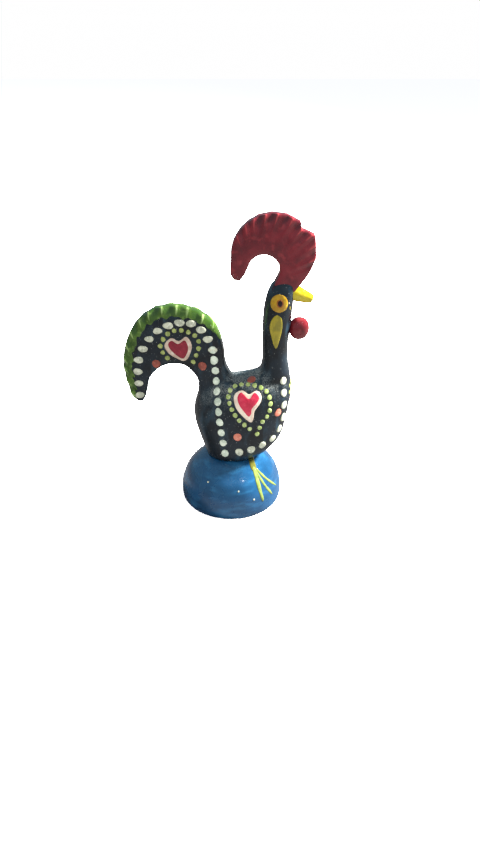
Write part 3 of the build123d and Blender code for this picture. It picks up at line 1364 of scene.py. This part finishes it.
@dataclass
class Comb:
    """The comb's pinched crescent on the crown.

    Attributes:
        sizes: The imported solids' sizes.
        radius: Radius of its rim.
        back_shift: How far its centre lies behind the neck's.
        hook_radius: Radius of the gap under its hook.
        hook_back: How far the gap's centre lies behind the neck's.
        hook_rise: How far the gap's centre lies above the crown.
        tip_back: How far its tip lies behind the neck's centre.
        tip_rise: How far its tip lies above the crown.
        root_half: Half its thickness at the crown.
        rim_half: Half its thickness at its top.
        squareness: How square its edges are; 2 is an oval.
        root_depth: How far below the crown it starts to grow thinner.
        front_points: Its front edge upward, from the neck's centre and the crown.
        rim_turns: Its rim, in shares of its radius and degrees.
        back_points: The rim's last points, from its tip.
        root_points: Its inner edge where it leaves the crown, from the neck's centre and the crown.
        hook_turns: The round part of the gap, in degrees.
        hook_end: Where the gap's edge runs on behind that, from the gap's centre.
        hook_points: The gap's last points, from the comb's tip.
        pinches: The hollows along its rim.
    """

    sizes: Sizes
    radius: float = 12.9
    back_shift: float = 1.7
    hook_radius: float = 4.85
    hook_back: float = 4.5
    hook_rise: float = 4.85
    tip_back: float = 12.7
    tip_rise: float = 1.6
    root_half: float = 2.8
    rim_half: float = 2.25
    squareness: float = 8.0
    root_depth: float = 1.6
    front_points: Shares = ((4.9, -2.0), (6.8, 0.4), (9.4, 4.1))
    rim_turns: Shares = (
        (1.0, -3), (1.02, 12), (1.065, 24), (1.065, 29),
        (0.975, 37), (0.92, 44), (0.945, 47.5), (1.0, 51.5),
        *((1.0, turn) for turn in (56, 66, 80, 95, 110, 125, 140, 155, 170, 185)),
    )
    back_points: Shares = ((-2.0, 2.6), (-1.0, 0.6), (0.0, 0.0))
    root_points: Shares = ((-1.6, -1.2), (-1.1, 0.8))
    hook_turns: tuple[float, ...] = (-35, -10, 20, 50, 80, 110, 140, 165)
    hook_end: Pixel = (-5.7, -1.05)
    hook_points: Shares = ((2.0, 1.6), (1.1, 0.35), (0.0, 0.0))
    pinches: Pinches = Pinches(0.15, 0.76, 10, 5.2, 0.95, 0.06, 4)

    def crescent(self) -> Crescent:
        """Makes the comb's slab.

        Returns:
            The slab.
        """
        neck = float(self.sizes.middle("eyes")[0])
        crown = float(self.sizes.high("body_and_neck")[2])
        top = float(self.sizes.high("comb")[2])
        centre = (neck - self.back_shift, top - self.radius)
        hook = (neck - self.hook_back, crown + self.hook_rise)
        tip = (neck - self.tip_back, crown + self.tip_rise)
        rim = shifted((neck, crown), self.front_points)
        rim += [polar(centre, share * self.radius, turn) for share, turn in self.rim_turns]
        rim += shifted(tip, self.back_points)
        inner = shifted((neck, crown), self.root_points)
        inner += [polar(hook, self.hook_radius, turn) for turn in self.hook_turns]
        inner += shifted(hook, (self.hook_end,)) + shifted(tip, self.hook_points)
        count = 720
        edges = [smooth_line(np.array(edge), count) for edge in (rim, inner)]
        halves = (self.root_half, self.rim_half)
        thin = (crown - self.root_depth, top)
        return Crescent(*edges, *halves, 1, *thin, self.pinches, squareness=self.squareness)

    def build(self, shop: Workshop, material: Material) -> None:
        """Makes the comb."""
        shop.piece("pinched_comb", self.crescent().lump(), material, Slot.RED, ("comb",))


@dataclass
class Foot:
    """The bell-shaped foot, hollow below.

    Attributes:
        sizes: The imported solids' sizes.
        wall: Thickness of its wall.
        crown_wall: Thickness of its crown.
        bell_shares: Its outline from the table up, in shares of its radius and height.
    """

    sizes: Sizes
    wall: float = 3.6
    crown_wall: float = 5.0
    bell_shares: Shares = (
        (0.965, 0.0), (0.985, 0.02), (1.0, 0.09), (1.0, 0.20), (0.975, 0.41), (0.86, 0.67),
        (0.66, 0.87), (0.48, 0.975), (0.30, 1.0),
    )

    def lump(self) -> Lump:
        """Turns the bell and its hollow as one skin.

        Returns:
            The foot.
        """
        radius = float(self.sizes.high("foot")[1])
        height = float(self.sizes.high("foot")[2])
        inside = (radius - self.wall, height - self.crown_wall)
        outer_rings, inner_rings, around, middle = 90, 60, 128, 0.05
        shares = np.array(self.bell_shares)
        outer = smooth_line(shares * (radius, height), outer_rings)
        inner = smooth_line(shares[::-1] * inside, inner_rings)
        profile = np.vstack([[(middle, inside[1])], inner, outer, [(middle, height)]])
        turn = np.linspace(0, 2 * math.pi, around, endpoint=False)
        reach, level = profile.T[:, :, None]
        squashed = 0.002 * (1 + np.sin(2 * turn + 2.6))
        rippled = 0.001 * (1 + np.sin(5 * turn + level / 3))
        uneven = 1 - squashed - rippled
        x, y = reach * uneven * np.cos(turn), reach * uneven * np.sin(turn)
        return Lump.tube(np.stack([x, y, level + np.zeros_like(x)], axis=-1))

    def build(self, shop: Workshop, material: Material) -> Skin:
        """Makes the foot.

        Args:
            shop: Makes the piece.
            material: The blue enamel.

        Returns:
            The surface for the painted legs.
        """
        lump = self.lump()
        shop.piece("bell_foot", lump, material, Slot.BLUE, ("foot",))
        return Skin(lump)


@dataclass
class Face:
    """Beak and wattle.

    Attributes:
        sizes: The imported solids' sizes.
        length: The beak's length.
        droop: How far the beak droops, in degrees.
        root_rise: How far its root lies above the solid's.
        tip_short: How far its tip stops short of the solid's.
        beak_shares: Its outline, in shares of its length and of its root's radius.
    """

    sizes: Sizes
    length: float = 6.7
    droop: float = 20.0
    root_rise: float = 0.8
    tip_short: float = 0.18
    beak_shares: Shares = (
        (-0.30, 1.0), (0.0, 1.0), (0.25, 0.92), (0.60, 0.75), (0.82, 0.63), (0.93, 0.52), (0.985, 0.28),
        (1.0, 0.02),
    )

    def beak(self) -> Lump:
        """Makes the blunt cone of the beak.

        Returns:
            The beak.
        """
        low, high = self.sizes.low("beak"), self.sizes.high("beak")
        root_radius = (high[1] - low[1]) / 2
        tilt = math.radians(self.droop)
        root_x = float(high[0]) - self.tip_short - self.length * math.cos(tilt)
        root_z = float(high[2]) + self.root_rise - root_radius * math.cos(tilt)
        rings, around, narrow = 60, 48, 0.98
        outline = smooth_line(np.array(self.beak_shares), rings) * (self.length, root_radius)
        along, radius = outline.T[:, :, None]
        turn = np.linspace(0, 2 * math.pi, around, endpoint=False)
        up = radius * np.sin(turn)
        aside = radius * np.cos(turn) * narrow
        x = root_x + along * math.cos(tilt) + up * math.sin(tilt)
        z = root_z - along * math.sin(tilt) + up * math.cos(tilt)
        return Lump.tube(np.stack([x, aside + np.zeros_like(x), z], axis=-1))

    def wattle(self) -> Lump:
        """Makes the pressed pellet of the wattle.

        Returns:
            The wattle.
        """
        centre = self.sizes.middle("wattle")
        half = (self.sizes.high("wattle") - self.sizes.low("wattle")) / 2
        rings, around, most = 48, 64, 0.998 * math.pi / 2
        rise = np.linspace(-most, most, rings)[:, None]
        turn = np.linspace(0, 2 * math.pi, around, endpoint=False)
        upright, lengthwise, sideways = 0.80, 0.90, 0.96
        level = signed_power(np.cos(rise), upright)
        x = level * signed_power(np.cos(turn), lengthwise)
        y = level * signed_power(np.sin(turn), sideways)
        z = np.sin(rise) + 0 * x
        dent = 1 - 0.01 * (1 + np.sin(2.2 * x + 1.4 * z + 0.8)) - 0.0075 * (1 + np.sin(3 * y - 2 * z))
        rows = np.stack([x * dent, y * dent, z * dent], axis=-1) * half + centre
        return Lump.tube(rows)

    def build(self, shop: Workshop, yellow: Material, red: Material) -> None:
        """Makes beak and wattle."""
        shop.piece("blunt_beak", self.beak(), yellow, Slot.YELLOW, ("beak",))
        shop.piece("throat_wattle", self.wattle(), red, Slot.RED, ("wattle",))


@dataclass(frozen=True)
class BodyMarks:
    """Where the brush laid eyes, hearts and dots on the black clay.

    Names that end in px are in pixels of the photograph.

    Attributes:
        tail_dots: The large dots from the tail's tip to the rump.
        rump_dots: The large dots down the rump.
        hem_dots: The large dots along the hem and up the chest.
        flank_ring: The small dots round the flank's heart.
        tail_ring: The small dots round the tail's heart.
        ring_dab: A dot of the ring round the chest's heart.
        spot_dab: A salmon or rust dot.
        back_rust_px: The rust dot on the back.
        tail_rust_px: The rust dots on the tail.
        flank_salmon_px: The salmon dots on the flank.
        flank_border_px: Edge of the border round the flank's heart.
        flank_heart_px: Edge of the flank's heart.
        tail_border_px: Edge of the border round the tail's heart.
        tail_heart_px: Edge of the tail's heart.
        chest_place: Middle of the chest's heart.
        half_heart_shares: Its right half, in shares of its width and height.
        chest_ring: Width and height of the ring round it.
        chest_border: Width and height of its border.
        chest_heart: Its own width and height.
        eye_px: Edge of the eye.
        eye_rim_px: Edge of the amber round its pupil.
        pupil_px: Edge of the pupil.
        lobe_px: Edge of the ear lobe.
        chin_px: Edge of the fleck under the beak.
        mouth_px: Edge of the fleck at the mouth.
        border_thick: Thickness of the hearts' borders.
        heart_thick: Thickness of the hearts, and how far their borders lift them.
        eye_thick: Thickness of the eye.
        eye_rim_coat: Thickness of its rim, and how far the eye lifts it.
        pupil_coat: Thickness of its pupil, and how far the rest lifts it.
        lobe_thick: Thickness of the ear lobe.
        fleck_thick: Thickness of a fleck.
        edge_points: How many points a heart's edge has.
        twin_drop: How much lower the marks on the back's top lie on the far side.
    """

    tail_dots: Row = Row(
        (
            (140, 395), (138.5, 378), (138.2, 361.5), (147, 341.8), (162.5, 328), (186, 322.6),
            (203, 332), (212.7, 350),
        ),
        13,
        Dab(1.55, 1.1, 0.30),
    )
    rump_dots: Row = Row(
        ((212.7, 350), (215.5, 372), (217.5, 400), (219.8, 423.4), (225, 453.2)), 11, Dab(1.25, 1.4, 0.30)
    )
    hem_dots: Row = Row(
        ((239.3, 452.1), (252.5, 449.1), (272.6, 438.5), (282.6, 419.5), (284.0, 400), (283.3, 380.8)),
        9,
        Dab(1.3, 1.45, 0.30),
    )
    flank_ring: Row = Row(
        (
            (249.7, 429), (238.6, 419.9), (231, 407.7), (228.4, 394.5), (235.6, 385.7), (251, 384.6),
            (265.3, 390.4), (270.3, 402), (268.6, 413.9), (261.8, 422.9), (257.1, 434),
        ),
        21,
        Dab(0.75, 0.85, 0.18),
    )
    tail_ring: Row = Row(
        (
            (167.4, 358.1), (160.2, 347), (167.8, 333.8), (181.3, 330.4), (196.3, 336.9), (198.6, 348),
            (193.2, 361.9),
        ),
        13,
        Dab(0.75, 0.8, 0.18),
    )
    ring_dab: Dab = Dab(0.6, 0.7, 0.16)
    spot_dab: Dab = Dab(1.35, 1.45, 0.25)
    back_rust_px: Pixels = ((251.4, 379.4),)
    tail_rust_px: Pixels = ((156.3, 363.9), (202.4, 366.2))
    flank_salmon_px: Pixels = ((278, 412.7), (237.5, 437.2))
    flank_border_px: Pixels = (
        (248.9, 394.3), (242.5, 390.5), (236.0, 392.8), (233.7, 398.6), (236.1, 408.2), (242.5, 416.3),
        (250.6, 422.4), (253.4, 418.6), (254.5, 411.4), (259.7, 403.9), (261.5, 397.5), (259.4, 392.4),
        (255.4, 391.0),
    )
    flank_heart_px: Pixels = (
        (248.9, 399.1), (241.4, 392.6), (237.5, 397.5), (239.3, 405.0), (244.7, 412.5), (248.7, 416.5),
        (251.1, 413.6), (251.8, 408.8), (256.5, 403.4), (259.1, 397.5), (254.3, 392.9),
    )
    tail_border_px: Pixels = (
        (178.8, 341.0), (171.0, 338.2), (164.4, 345.2), (168.9, 353.6), (177.3, 358.6), (183.9, 360.9),
        (188.6, 357.1), (191.8, 345.9), (186.5, 336.8),
    )
    tail_heart_px: Pixels = (
        (178.1, 343.8), (171.7, 340.7), (168.2, 344.5), (172.4, 351.5), (182.3, 358.3), (187.2, 352.9),
        (187.9, 345.9), (184.4, 340.3),
    )
    chest_place: Place = (24.0, 0.0, 40.0)
    half_heart_shares: Shares = (
        (0.0, 0.26), (0.16, 0.46), (0.38, 0.44), (0.5, 0.2), (0.36, -0.12), (0.0, -0.54),
    )
    chest_ring: Pixel = (11.0, 12.0)
    chest_border: Pixel = (7.4, 8.4)
    chest_heart: Pixel = (4.8, 5.6)
    eye_px: Pixels = oval((279.2, 303.6), 8.7, 9.2)
    eye_rim_px: Pixels = oval((280.1, 303.6), 3.5, 4.2)
    pupil_px: Pixels = oval((280.1, 303.6), 2.3, 3.0)
    lobe_px: Pixels = (
        (277.2, 315.3), (281.4, 318.5), (282.3, 326.5), (280.4, 336.5), (275.8, 349.0), (271.2, 336.5),
        (269.8, 326.5), (272.6, 318.5),
    )
    chin_px: Pixels = oval((290.2, 308.2), 0.6, 1.9)
    mouth_px: Pixels = oval((289.2, 303.2), 0.45, 0.9)
    border_thick: float = 0.16
    heart_thick: float = 0.14
    eye_thick: float = 0.22
    eye_rim_coat: Pixel = (0.06, 0.20)
    pupil_coat: Pixel = (0.08, 0.25)
    lobe_thick: float = 0.18
    fleck_thick: float = 0.05
    edge_points: int = 72
    twin_drop: float = 5.0

    def lay(self, brush: Brush, paint: dict[str, Material]) -> None:
        """Lays every mark.

        Args:
            brush: The loaded brush.
            paint: The enamels by colour.
        """
        self._dots(brush, paint)
        self._hearts(brush, paint)
        self._head(brush, paint)

    def _dots(self, brush: Brush, paint: dict[str, Material]) -> None:
        """Lays rows and rings of dots.

        Args:
            brush: The loaded brush.
            paint: The enamels by colour.
        """
        brush.row(self.tail_dots)
        brush.finish("tail_dots", paint["cream"], Slot.CREAM)
        brush.row(self.rump_dots)
        brush.finish("rump_dots", paint["white_cream"], Slot.CREAM)
        brush.row(self.hem_dots)
        brush.finish("hem_dots", paint["cream"], Slot.CREAM)
        brush.twin_drop = self.twin_drop
        brush.row(self.flank_ring)
        brush.finish("flank_ring_dots", paint["pale_lime"], Slot.LIME)
        brush.spots(self.back_rust_px, self.spot_dab)
        brush.twin_drop = 0.0
        brush.spots(self.tail_rust_px, self.spot_dab)
        brush.finish("rust_dots", paint["rust"], Slot.SALMON)
        brush.spots(self.flank_salmon_px, self.spot_dab)
        brush.finish("salmon_dots", paint["salmon"], Slot.SALMON)
        brush.row(self.tail_ring)
        chest = Vector(self.chest_place)
        points_per_dot = 5
        ring = brush.facing(chest, self.half_heart_shares, self.chest_ring)
        for spot in ring[::points_per_dot]:
            if spot.z > chest.z:
                brush.dab(brush.round_dab(spot, self.ring_dab), self.ring_dab.thick)
        brush.finish("tail_and_chest_ring_dots", paint["lime"], Slot.LIME)

    def _hearts(self, brush: Brush, paint: dict[str, Material]) -> None:
        """Lays the hearts on their pale borders.

        Args:
            brush: The loaded brush.
            paint: The enamels by colour.
        """
        chest, half = Vector(self.chest_place), self.half_heart_shares
        border, heart, count = self.border_thick, self.heart_thick, self.edge_points
        brush.patch(self.flank_border_px, border, count=count)
        brush.dab(brush.facing(chest, half, self.chest_border), border)
        brush.finish("body_heart_borders", paint["ivory"], Slot.CREAM)
        brush.patch(self.tail_border_px, border, count=count)
        brush.finish("tail_heart_borders", paint["bone"], Slot.CREAM)
        brush.patch(self.flank_heart_px, heart, heart, count)
        brush.finish("flank_hearts_enamel", paint["pink"], Slot.PINK, ("flank_hearts",))
        brush.dab(brush.facing(chest, half, self.chest_heart), heart, heart)
        brush.finish("chest_heart_enamel", paint["pink"], Slot.PINK)
        brush.patch(self.tail_heart_px, heart, heart, count)
        brush.finish("tail_hearts_enamel", paint["crimson"], Slot.CRIMSON, ("tail_hearts",))

    def _head(self, brush: Brush, paint: dict[str, Material]) -> None:
        """Lays eyes, ear lobes and flecks.

        Args:
            brush: The loaded brush.
            paint: The enamels by colour.
        """
        brush.patch(self.eye_px, self.eye_thick)
        brush.finish("eye_discs", paint["ochre"], Slot.YELLOW, ("eyes",))
        brush.patch(self.eye_rim_px, *self.eye_rim_coat)
        brush.finish("eye_rims", paint["amber"], Slot.YELLOW)
        brush.patch(self.pupil_px, *self.pupil_coat)
        brush.finish("pupils", paint["maroon"], Slot.CRIMSON)
        brush.patch(self.lobe_px, self.lobe_thick)
        brush.finish("ear_lobe_drops", paint["olive"], Slot.YELLOW, ("ear_lobes",))
        brush.patch(self.chin_px, self.fleck_thick)
        brush.finish("chin_flecks", paint["olive"], Slot.YELLOW)
        brush.patch(self.mouth_px, self.fleck_thick)
        brush.finish("mouth_flecks", paint["bone"], Slot.CREAM)


@dataclass(frozen=True)
class LegMarks:
    """A thin leg with three toes, brushed on each side of the foot.

    Attributes:
        stem_px: Line of the leg, in pixels of the photograph.
        stem_halves: Half its width where the brush lands and lifts.
        stem_thick: Its thickness.
        toes_px: Lines of the toes, in pixels.
        toe_halves: Half the width of each, as for the leg.
        toe_thick: Their thickness.
        glint_specks_px: Cream specks beside them that stand for small glints, a painted highlight, in
            pixels.
        speck: What each of these painted glints is like.
    """

    stem_px: Pixels = ((249.3, 450.5), (251.4, 459.5), (254.4, 471.5))
    stem_halves: Pixel = (1.3, 1.0)
    stem_thick: float = 0.14
    toes_px: tuple[Pixels, ...] = (
        ((253.6, 466.5), (258.4, 484.5), (263.2, 501.0)),
        ((255.0, 469.5), (263.8, 483.8), (272.2, 494.0)),
        ((255.4, 468.0), (265.8, 478.2), (276.0, 485.2)),
    )
    toe_halves: Shares = ((0.85, 0.62), (0.52, 0.46), (0.48, 0.40))
    toe_thick: float = 0.17
    glint_specks_px: Pixels = ((208, 482), (238.5, 491.6), (254, 499.6))
    speck: Dab = Dab(0.32, 0.32, 0.15)

    def lay(self, brush: Brush, paint: dict[str, Material]) -> None:
        """Lays legs, toes and the specks of painted highlight.

        Args:
            brush: The loaded brush, on the foot.
            paint: The enamels by colour.
        """
        brush.stroke(self.stem_px, self.stem_halves, self.stem_thick)
        brush.finish("leg_stems", paint["brown_olive"], Slot.YELLOW)
        for toe, halves in zip(self.toes_px, self.toe_halves):
            brush.stroke(toe, halves, self.toe_thick)
        brush.finish("toes", paint["straw"], Slot.YELLOW)
        # Cream specks on the blue stand in for small glints: painted highlights.
        brush.spots(self.glint_specks_px, self.speck)
        brush.finish("foot_glint_specks", paint["cream"], Slot.CREAM)


def enamels() -> dict[str, Material]:
    """Mixes every enamel of the ornament.

    Returns:
        The enamels by colour.
    """
    upright = (1.0, 1.0, 3.0)
    finishes = (
        # The black's teal streaks are brush marks that are also a painted sheen on the flank.
        DustyFinish(
            "black",
            colour=(0.006, 0.013, 0.021),
            shade=(0.003, 0.004, 0.006),
            streak=(0.013, 0.036, 0.055),
            grain=3.0,
            streak_stretch=upright,
            roughness=0.36,
            coat=0.25,
            bump=0.07,
        ),
        # The green and red paint a shade into their pinched hollows and a highlight onto their ridges.
        PinchedFinish(
            "green",
            colour=(0.066, 0.130, 0.014),
            shade=(0.034, 0.074, 0.009),
            streak=(0.125, 0.215, 0.04),
            grain=1.2,
            roughness=0.32,
            coat=0.2,
            bump=0.06,
            ridge=(0.25, 0.37, 0.12),
            hollow=(0.028, 0.065, 0.008),
        ),
        PinchedFinish(
            "red",
            colour=(0.165, 0.013, 0.020),
            shade=(0.10, 0.010, 0.015),
            streak=(0.21, 0.022, 0.028),
            grain=2.4,
            roughness=0.32,
            coat=0.25,
            bump=0.06,
            ridge=(0.33, 0.036, 0.042),
            hollow=(0.070, 0.007, 0.011),
        ),
        Finish(
            "blue",
            colour=(0.009, 0.066, 0.158),
            shade=(0.006, 0.044, 0.108),
            streak=(0.018, 0.110, 0.235),
            grain=3.0,
            streak_stretch=(2.5, 2.5, 0.8),
            streak_share=0.4,
            roughness=0.26,
            coat=0.40,
        ),
        Finish(
            "olive",
            colour=(0.31, 0.25, 0.016),
            shade=(0.20, 0.17, 0.014),
            streak=(0.40, 0.32, 0.025),
            grain=1.2,
            streak_stretch=upright,
            coat=0.2,
        ),
    )
    # Name, usual colour, shade, streak, grain, roughness and coat of the rest.
    plain = (
        ("wattle_red", (0.15, 0.010, 0.016), (0.09, 0.007, 0.010), (0.20, 0.024, 0.028), 2.0, 0.28, 0.3),
        ("yellow", (0.46, 0.37, 0.008), (0.36, 0.28, 0.007), (0.52, 0.45, 0.04), 1.5, 0.3, 0.3),
        ("straw", (0.20, 0.25, 0.055), (0.15, 0.20, 0.05), (0.27, 0.33, 0.09), 1.0, 0.3, 0.1),
        ("brown_olive", (0.13, 0.115, 0.012), (0.08, 0.085, 0.02), (0.19, 0.17, 0.02), 0.8, 0.3, 0.1),
        ("rust", (0.30, 0.065, 0.042), (0.20, 0.045, 0.03), (0.38, 0.11, 0.07), 1.0, 0.3, 0.1),
        ("ochre", (0.42, 0.25, 0.008), (0.32, 0.17, 0.007), (0.50, 0.34, 0.02), 1.0, 0.3, 0.2),
        ("amber", (0.32, 0.10, 0.008), (0.22, 0.06, 0.007), (0.40, 0.18, 0.015), 0.8, 0.3, 0.2),
        ("maroon", (0.030, 0.004, 0.006), (0.015, 0.003, 0.004), (0.06, 0.008, 0.01), 0.6, 0.3, 0.2),
        ("cream", (0.56, 0.58, 0.44), (0.36, 0.38, 0.29), (0.70, 0.72, 0.60), 0.8, 0.45, 0.1),
        ("white_cream", (0.7, 0.77, 0.63), (0.46, 0.54, 0.43), (0.8, 0.86, 0.74), 0.8, 0.45, 0.1),
        ("ivory", (0.80, 0.68, 0.54), (0.66, 0.52, 0.40), (0.86, 0.78, 0.66), 1.2, 0.45, 0.1),
        ("bone", (0.58, 0.45, 0.35), (0.44, 0.33, 0.25), (0.66, 0.57, 0.48), 1.2, 0.45, 0.1),
        ("lime", (0.33, 0.38, 0.11), (0.22, 0.27, 0.07), (0.46, 0.50, 0.22), 0.8, 0.45, 0.1),
        ("pale_lime", (0.40, 0.49, 0.17), (0.27, 0.36, 0.09), (0.62, 0.68, 0.42), 0.8, 0.45, 0.1),
        ("salmon", (0.64, 0.20, 0.13), (0.50, 0.13, 0.08), (0.72, 0.32, 0.22), 1.0, 0.4, 0.1),
        ("pink", (0.58, 0.026, 0.068), (0.48, 0.018, 0.05), (0.62, 0.05, 0.09), 1.2, 0.45, 0.05),
        ("crimson", (0.24, 0.008, 0.024), (0.17, 0.006, 0.016), (0.32, 0.022, 0.04), 1.2, 0.4, 0.1),
    )
    finishes += tuple(
        Finish(*looks, roughness=roughness, coat=coat) for *looks, roughness, coat in plain
    )
    return {finish.name: finish.material() for finish in finishes}


def corners() -> list[list[float]]:
    """Gives the shown object's lowest and highest corner as plain lists."""
    return [list(corner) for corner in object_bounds()]


def main() -> None:
    """Builds studio, clay and paint in order."""
    logging.basicConfig(level=logging.INFO, format="%(message)s")
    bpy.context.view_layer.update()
    axis_x = sum(corner.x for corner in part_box("foot")) / 2 / MM
    sizes = Sizes(axis_x)
    shop = Workshop(sizes)
    camera = PhotoCamera(axis_x)
    camera.build()
    Studio().build()
    paint = enamels()
    tail = Tail(sizes)
    black = ClayBody(sizes).build(shop, tail.crescent().lump(), paint["black"])
    tail.frill(shop, paint["green"])
    Comb(sizes).build(shop, paint["red"])
    Face(sizes).build(shop, paint["yellow"], paint["wattle_red"])
    foot = Foot(sizes).build(shop, paint["blue"])
    BodyMarks().lay(Brush(shop, camera, black), paint)
    LegMarks().lay(Brush(shop, camera, foot), paint)


if __name__ == "__main__":
    main()
